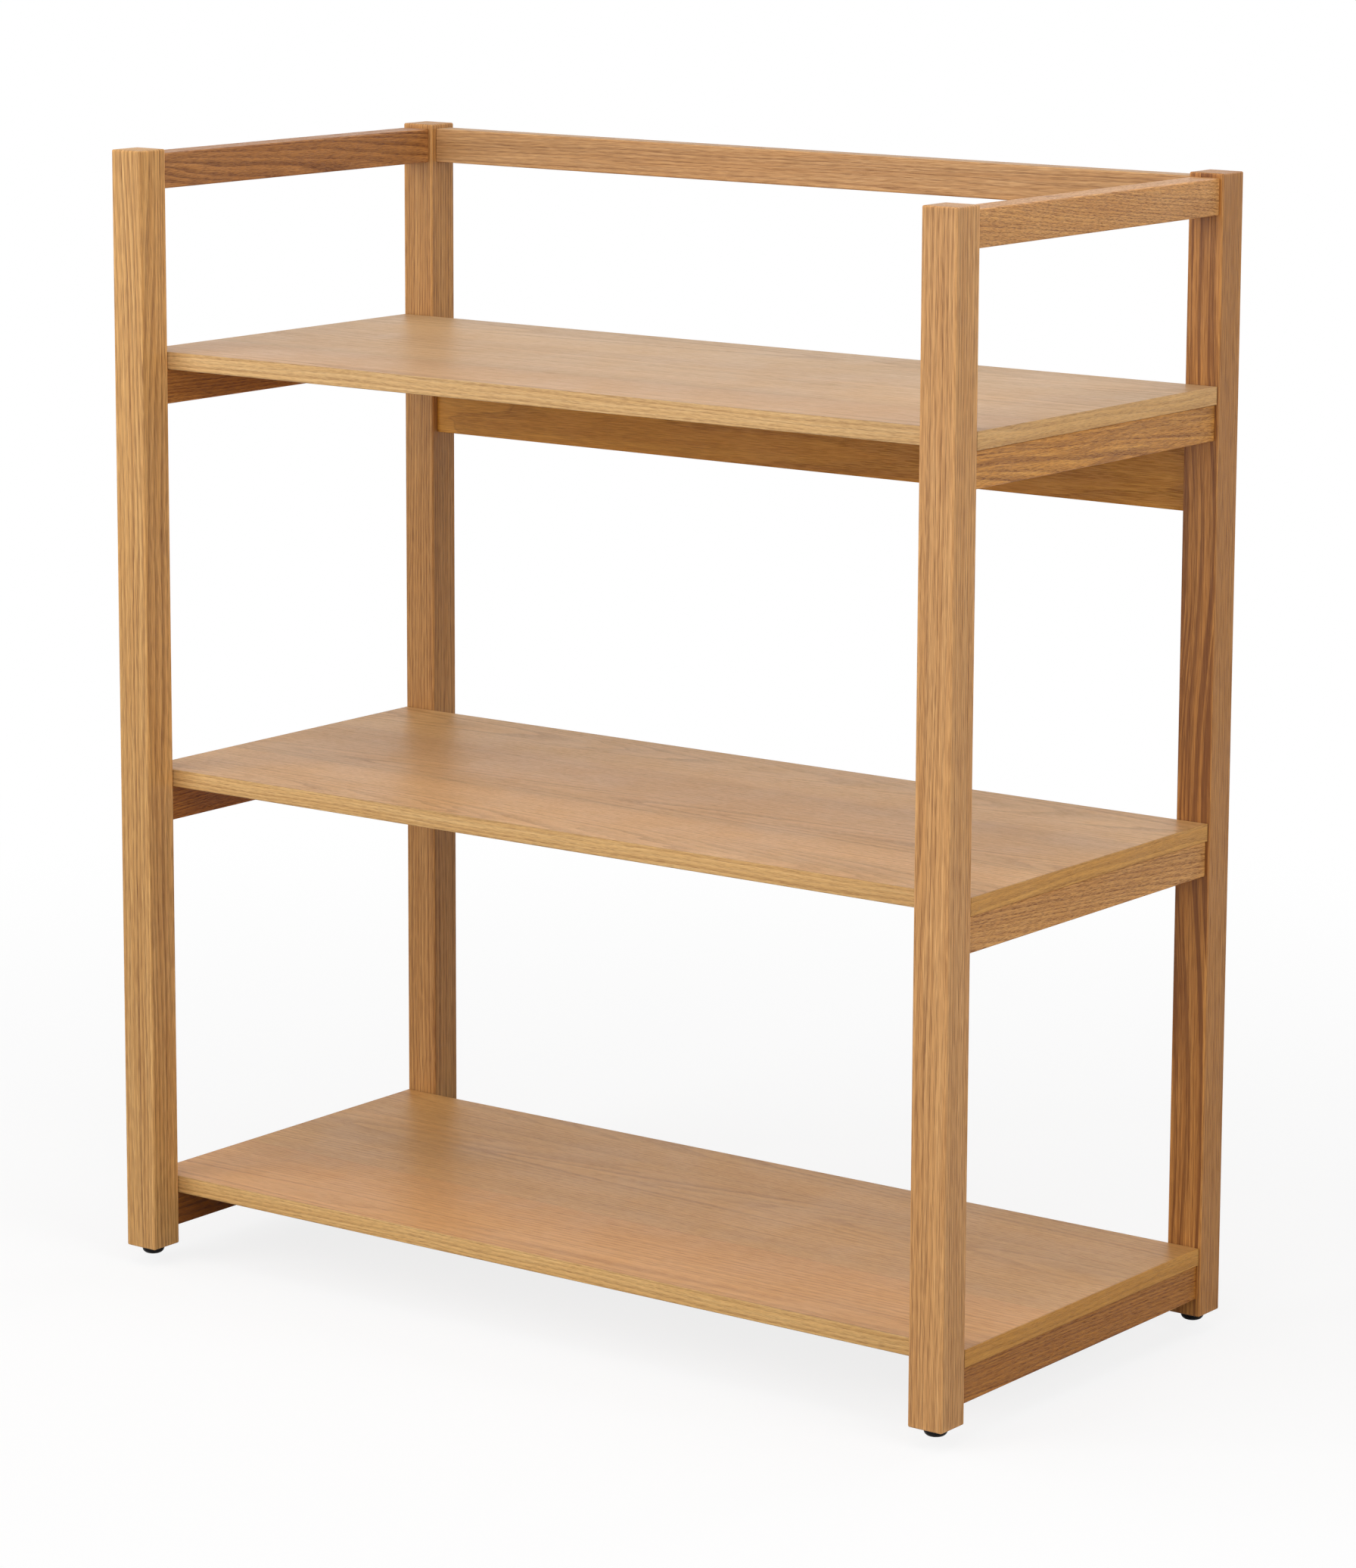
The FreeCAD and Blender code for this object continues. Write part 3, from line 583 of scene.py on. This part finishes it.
class RACK_OT_edging(bpy.types.Operator):
    """Finish the strips of edging, with the grain along each strip"""
    bl_idname = "oak_rack.edging"
    bl_label = "Shelf edging"

    # How far off the log's heart the long strips and the end strips were cut, and how much further
    # along the log the end strips
    long_heart = (0.210, 0.055)
    end_heart = (0.180, 0.090)
    end_log = 1.1
    ring = 0.0026
    rings = 0.40
    pores = 0.62
    # Width of the strips' eased edges, and by what share they are lighter
    arris = 0.0014
    arris_lighter = -0.22

    def execute(self, context):
        oak = context.scene.rack_looks.oak
        for level, shelf in SHELVES.items():
            node = f"{level}_shelf_edging"
            dress(node, self.edging(node, oak, shelf))
        return {"FINISHED"}

    def edging(self, node, oak, shelf):
        """Make the material of a shelf's four strips: those on its ends run along Y."""
        material, tree = new_material(f"oak_{node}")
        place = object_place(tree)
        centre, _ = box_of(node)
        _, core_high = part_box(node.replace("edging", "core"))
        on_end = tree.math("GREATER_THAN", tree.math("ABSOLUTE", tree.parts(place)[0]), core_high.x)
        along = grain_place(tree, place, "X", 0.0, centre, (shelf.log, *self.long_heart))
        aside = grain_place(tree, place, "Y", 0.0, centre, (shelf.log + self.end_log, *self.end_heart))
        strip = tree.node("Mix", {0: on_end, 4: along, 5: aside}, data_type="VECTOR").outputs[1]
        shades = [tree.blend(on_end, tinted(shade, shelf.edge), tinted(shade, shelf.end))
                  for shade in (oak.edging_tan, oak.edging_pale, oak.edging_dark)]
        grain = tree.group(found_group("Oak grain", make_oak_grain), Vector=strip, Tan=shades[0],
                           Pale=shades[1], Dark=shades[2], Ring_Width=self.ring, Rings=self.rings,
                           Streaks=0.0, Pores=self.pores, Flecks=1.0, Tone=1.0)
        eased = edge_mask(tree, place, node, self.arris)
        lacquered(tree, place, grain, eased, self.arris_lighter, oak)
        return material


class RACK_OT_cores(bpy.types.Operator):
    """Finish the shelves' cores as chipboard"""
    bl_idname = "oak_rack.cores"
    bl_label = "Shelf cores"

    chips_per_metre = (260.0, 420.0, 900.0)
    dust_per_metre = (1600.0, 1600.0, 1600.0)
    pale_chip = (0.55, 0.40, 0.23, 1.0)
    chip_depth = 0.0004

    def execute(self, context):
        material, tree = new_material("chipboard")
        place = object_place(tree)
        cells = tree.vector("MULTIPLY", place, self.chips_per_metre)
        chips = tree.node("TexVoronoi", {"Vector": cells, "Scale": 1.0}, feature="F1")
        shade = tree.parts(chips.outputs["Color"])[0]
        dust = tree.noise(place, self.dust_per_metre, 2.0)
        dusty = tree.ramp(dust, 0.3, 0.7, -0.1, 0.1)
        lightness = tree.math("ADD", tree.ramp(shade, 0.0, 1.0, 0.55, 1.15), dusty)
        board = tuple(context.scene.rack_looks.hardware.board)
        chip_colour = tree.scaled(tree.blend(shade, board, self.pale_chip), lightness)
        rough = tree.ramp(dust, 0.2, 0.8, 0.78, 0.92)
        finish_material(tree, chips.outputs["Distance"], self.chip_depth, Base_Color=chip_colour,
                        Roughness=rough)
        for level in SHELVES:
            dress(f"{level}_shelf_core", material)
        return {"FINISHED"}


class RACK_OT_dowels(bpy.types.Operator):
    """Finish the dowels in pressed beech"""
    bl_idname = "oak_rack.dowels"
    bl_label = "Dowels"

    fleck_colour = (0.30, 0.15, 0.07, 1.0)
    pressed_depth = 0.0002

    def execute(self, context):
        beech = context.scene.rack_looks.hardware.beech
        for node, axis in (("side_rail_dowels", "Y"), ("back_rail_dowels", "X")):
            dress(node, self.beech(node, axis, beech))
        return {"FINISHED"}

    def beech(self, node, axis, tint):
        """Make beech with short flecks along the dowel, and pressed lines along its length."""
        material, tree = new_material(f"beech_{node}")
        place = grain_place(tree, object_place(tree), axis, 0.0, box_of(node)[0], (0.0, 0.0, 0.0))
        flecks = tree.ramp(tree.noise(place, (420.0, 1700.0, 1700.0), 2.0, 0.6), 0.55, 0.68)
        streak = tree.noise(place, (30.0, 700.0, 700.0), 2.0)
        pressed = tree.noise(place, (4.0, 1500.0, 1500.0), 1.0)
        wood = tree.scaled(tuple(tint), tree.ramp(streak, 0.3, 0.7, 0.86, 1.08))
        wood = tree.blend(tree.math("MULTIPLY", flecks, 0.5), wood, self.fleck_colour)
        rough = tree.ramp(streak, 0.3, 0.7, 0.58, 0.72)
        finish_material(tree, pressed, self.pressed_depth, Base_Color=wood, Roughness=rough)
        return material


def zinc_material(name, tint):
    """Make zinc plated steel."""
    material, tree = new_material(name)
    place = object_place(tree)
    plated = tree.group(found_group("Plated steel", make_plated_steel), Vector=place, Zinc=tint)
    finish_material(tree, plated.outputs["Height"], DRAWN_DEPTH, Base_Color=plated.outputs["Color"],
                    Roughness=plated.outputs["Roughness"], Metallic=1.0)
    return material


class RACK_OT_hardware(bpy.types.Operator):
    """Finish the shelf screws and the feet's inserts in zinc plated steel"""
    bl_idname = "oak_rack.hardware"
    bl_label = "Screws and inserts"

    def execute(self, context):
        zinc = tuple(context.scene.rack_looks.hardware.zinc)
        for node in ("shelf_screws", "foot_inserts"):
            dress(node, zinc_material(f"zinc_{node}", zinc))
        return {"FINISHED"}


def thread_rise(phase):
    """Height of a thread's flank from root, 0, to crest, 1, at a share of one pitch."""
    return min(1.0, max(0.0, FLANK_PEAK - FLANK_SLOPE * abs(phase - 0.5)))


def new_object(name, mesh):
    """Turn a finished mesh into an object, smooth but for its sharp edges."""
    data = bpy.data.meshes.new(name)
    mesh.to_mesh(data)
    mesh.free()
    data.shade_smooth()
    data.set_sharp_from_angle(angle=SHARP_ANGLE)
    made = bpy.data.objects.new(name, data)
    bpy.context.scene.collection.objects.link(made)
    return made


class RACK_OT_feet(bpy.types.Operator):
    """Finish the feet: moulded black pads, and studs with a real thread"""
    bl_idname = "oak_rack.feet"
    bl_label = "Levelling feet"

    segments = 32
    rows_per_turn = 8
    merge_distance = 1e-6
    least_edge = 1e-7
    # Colour of scuffed plastic, how high the scuffs reach, the depth of the moulded grain and its gloss
    scuffed = (0.045, 0.044, 0.042, 1.0)
    scuff_height = 0.0012
    moulded_depth = 0.00003
    moulded_gloss = 0.14

    def execute(self, context):
        hardware = context.scene.rack_looks.hardware
        plastic = self.moulded_plastic(tuple(hardware.plastic))
        zinc = zinc_material("zinc_studs", tuple(hardware.zinc))
        for side in SIDES:
            dress(f"{side}_foot_pad", plastic)
            node = f"{side}_foot_stud"
            stud = self.threaded_stud(node, hardware)
            stud.data.materials.append(zinc)
            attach(stud, f"{side}_foot")
            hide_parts(node)
        return {"FINISHED"}

    def moulded_plastic(self, tint):
        """Make satin black plastic with a fine moulded grain, scuffed where it stands on the floor."""
        material, tree = new_material("black_plastic_pads")
        place = object_place(tree)
        spark = tree.noise(place, (2600.0, 2600.0, 2600.0), 2.0, 0.6)
        flow = tree.noise(place, (160.0, 160.0, 160.0), 2.0)
        low = tree.ramp(tree.parts(place)[2], 0.0, self.scuff_height, 1.0, 0.0)
        scuff = tree.math("MULTIPLY", low, tree.ramp(spark, 0.45, 0.62))
        black = tree.scaled(tint, tree.ramp(flow, 0.3, 0.7, 0.85, 1.25))
        black = tree.blend(tree.math("MULTIPLY", scuff, 0.4), black, self.scuffed)
        rough = tree.math("MULTIPLY_ADD", scuff, 0.25, tree.ramp(flow, 0.3, 0.7, 0.22, 0.32))
        finish_material(tree, spark, self.moulded_depth, Base_Color=black, Roughness=rough,
                        Specular_IOR_Level=self.moulded_gloss)
        return material

    def threaded_stud(self, node, hardware):
        """Model a stud with a helical thread and bevelled ends, in the space of its plain solid."""
        low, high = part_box(node)
        centre = (low + high) / 2
        major = (high.x - low.x) / 2
        minor = major - hardware.thread_depth
        pitch = hardware.thread_pitch
        last_row = (math.ceil((high.z - low.z) / pitch) + 1) * self.rows_per_turn
        mesh = bmesh.new()
        rings = []
        for row in range(last_row + 1):
            phase = row % self.rows_per_turn / self.rows_per_turn
            crest = minor + thread_rise(phase) * (major - minor)
            ring = []
            for step in range(self.segments):
                angle = 2 * math.pi * step / self.segments
                climb = pitch * (row / self.rows_per_turn + step / self.segments - 1)
                z = min(high.z, max(low.z, low.z + climb))
                radius = min(crest, minor + high.z - z, minor + z - low.z)
                ring.append(mesh.verts.new((centre.x + radius * math.cos(angle),
                                            centre.y + radius * math.sin(angle), z)))
            rings.append(ring)
        for row in range(last_row):
            for step in range(self.segments):
                after = (step + 1) % self.segments
                turn = 0 if after else self.rows_per_turn
                corners = (rings[row][step], rings[min(row + turn, last_row)][after],
                           rings[min(row + turn + 1, last_row)][after], rings[row + 1][step])
                if len(set(corners)) == len(corners):
                    mesh.faces.new(corners)
        bmesh.ops.remove_doubles(mesh, verts=mesh.verts, dist=self.merge_distance)
        bmesh.ops.dissolve_degenerate(mesh, edges=mesh.edges, dist=self.least_edge)
        bmesh.ops.holes_fill(mesh, edges=[edge for edge in mesh.edges if edge.is_boundary], sides=0)
        bmesh.ops.recalc_face_normals(mesh, faces=mesh.faces)
        return new_object(f"{node}_threaded", mesh)


class RACK_OT_stage(bpy.types.Operator):
    """Set the floor, the lamps, the white surroundings and the camera"""
    bl_idname = "oak_rack.stage"
    bl_label = "Stage"

    # The camera's place, how far it is turned to the left, tipped down and rolled, and its shift
    camera_place = (2.43789, -3.25297, 1.23184)
    camera_turn = math.radians(36.7009)
    camera_tip = math.radians(9.9081)
    camera_roll = math.radians(0.2180)
    camera_shift = -0.09
    middle = (0.0, 0.0, 0.45)
    floor_size = 14.0
    floor_squares = 8
    lit_floor = (0.94, 0.94, 0.94, 1.0)
    # The floor is seen as plain white by this share near the rack, and wholly from the far reach on
    near_white = 0.82
    near_reach = 0.45
    far_reach = 1.9

    def execute(self, context):
        scene = context.scene
        studio = scene.rack_looks.studio
        scene.view_settings.view_transform = "Standard"
        self.floor(studio)
        self.surroundings(scene, studio)
        for name, (place, width, height, part) in LAMPS.items():
            self.lamp(name, place, width, height, part * studio.lamp_power)
        self.camera(scene, studio)
        return {"FINISHED"}

    def seen_as_white(self, tree):
        """Mask of the rays that see the surroundings, straight or in a gloss or through glass."""
        path = tree.node("LightPath", {}).outputs
        straight = tree.math("MAXIMUM", path["Is Camera Ray"], path["Is Glossy Ray"])
        return tree.math("MAXIMUM", straight, path["Is Transmission Ray"])

    def floor(self, studio):
        """Lay a pale floor at the feet's longest reach, which keeps the shadow and is clear from below."""
        mesh = bmesh.new()
        bmesh.ops.create_grid(mesh, x_segments=self.floor_squares, y_segments=self.floor_squares,
                              size=self.floor_size / 2)
        floor = new_object("floor", mesh)
        floor.location.z = -max(joint["range_m"][1] for joint in frame["joints"])
        material, tree = new_material("pale_floor")
        from_middle = tree.distance(object_place(tree))
        seen_straight = tree.node("LightPath", {}).outputs["Is Camera Ray"]
        near_share = tree.math("MULTIPLY", seen_straight, self.near_white)
        far = tree.ramp(from_middle, self.near_reach, self.far_reach, near_share, 1.0)
        lit = tree.node("BsdfDiffuse", {"Color": self.lit_floor})
        white = tree.node("Emission", {"Color": WHITE, "Strength": 1.0})
        grey = tree.node("BsdfDiffuse", {"Color": tuple(studio.floor)})
        pale = tree.node("MixShader", {0: far, 1: lit.outputs[0], 2: white.outputs[0]})
        above = tree.node("MixShader", {0: self.seen_as_white(tree), 1: grey.outputs[0], 2: pale.outputs[0]})
        below = tree.node("NewGeometry", {}).outputs["Backfacing"]
        clear = tree.node("BsdfTransparent", {})
        surface = tree.node("MixShader", {0: below, 1: above.outputs[0], 2: clear.outputs[0]})
        tree.node("OutputMaterial", {"Surface": surface.outputs[0]})
        floor.data.materials.append(material)

    def surroundings(self, scene, studio):
        """Set even light from all round, which is seen as plain white."""
        world = bpy.data.worlds.new("studio")
        world.use_nodes = True
        world.node_tree.nodes.clear()
        tree = NodeTree(world.node_tree)
        even = tree.node("Background", {"Color": WHITE, "Strength": studio.ambient})
        white = tree.node("Background", {"Color": WHITE, "Strength": 1.0})
        mixed = tree.node("MixShader", {0: self.seen_as_white(tree), 1: even.outputs[0], 2: white.outputs[0]})
        tree.node("OutputWorld", {"Surface": mixed.outputs[0]})
        scene.world = world

    def lamp(self, name, place, width, height, power):
        """Hang one soft lamp that shines on the middle of the rack."""
        data = bpy.data.lights.new(name, "AREA")
        data.shape = "RECTANGLE"
        data.size = width
        data.size_y = height
        data.energy = power
        lamp = bpy.data.objects.new(name, data)
        lamp.location = place
        lamp.rotation_euler = (Vector(self.middle) - Vector(place)).to_track_quat("-Z", "Y").to_euler()
        bpy.context.scene.collection.objects.link(lamp)

    def camera(self, scene, studio):
        """Stand the camera where the photograph was taken from."""
        data = bpy.data.cameras.new("camera")
        data.lens = studio.lens
        data.shift_y = self.camera_shift
        camera = bpy.data.objects.new("camera", data)
        upright = Matrix.Rotation(math.pi / 2 - self.camera_tip, 4, "X")
        turned = Matrix.Rotation(self.camera_turn, 4, "Z") @ upright
        rolled = turned @ Matrix.Rotation(self.camera_roll, 4, "Z")
        camera.matrix_world = Matrix.Translation(self.camera_place) @ rolled
        scene.collection.objects.link(camera)
        scene.camera = camera


class RACK_PT_looks(bpy.types.Panel):
    """List the rack's pieces and their settings in the sidebar"""
    bl_idname = "RACK_PT_looks"
    bl_label = "Oak rack"
    bl_space_type = "VIEW_3D"
    bl_region_type = "UI"
    bl_category = "Oak rack"

    def draw(self, context):
        for piece in PIECES:
            self.layout.operator(piece.bl_idname)
        looks = context.scene.rack_looks
        for settings in (looks.oak, looks.hardware, looks.studio):
            box = self.layout.box()
            for name in settings.__annotations__:
                box.prop(settings, name)


PIECES = (RACK_OT_posts, RACK_OT_rails, RACK_OT_veneers, RACK_OT_edging, RACK_OT_cores, RACK_OT_dowels,
          RACK_OT_hardware, RACK_OT_feet, RACK_OT_stage)
CLASSES = (OakFinish, HardwareFinish, Studio, RackLooks, *PIECES, RACK_PT_looks)


def register():
    """Make the settings, the operators and the panel known."""
    for made in CLASSES:
        bpy.utils.register_class(made)
    bpy.types.Scene.rack_looks = PointerProperty(type=RackLooks)


def unregister():
    """Take them away again."""
    del bpy.types.Scene.rack_looks
    for made in reversed(CLASSES):
        bpy.utils.unregister_class(made)


def main():
    """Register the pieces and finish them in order."""
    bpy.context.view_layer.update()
    register()
    bpy.ops.oak_rack.posts()
    bpy.ops.oak_rack.rails()
    bpy.ops.oak_rack.veneers()
    bpy.ops.oak_rack.edging()
    bpy.ops.oak_rack.cores()
    bpy.ops.oak_rack.dowels()
    bpy.ops.oak_rack.hardware()
    bpy.ops.oak_rack.feet()
    bpy.ops.oak_rack.stage()


if __name__ == "__main__":
    main()
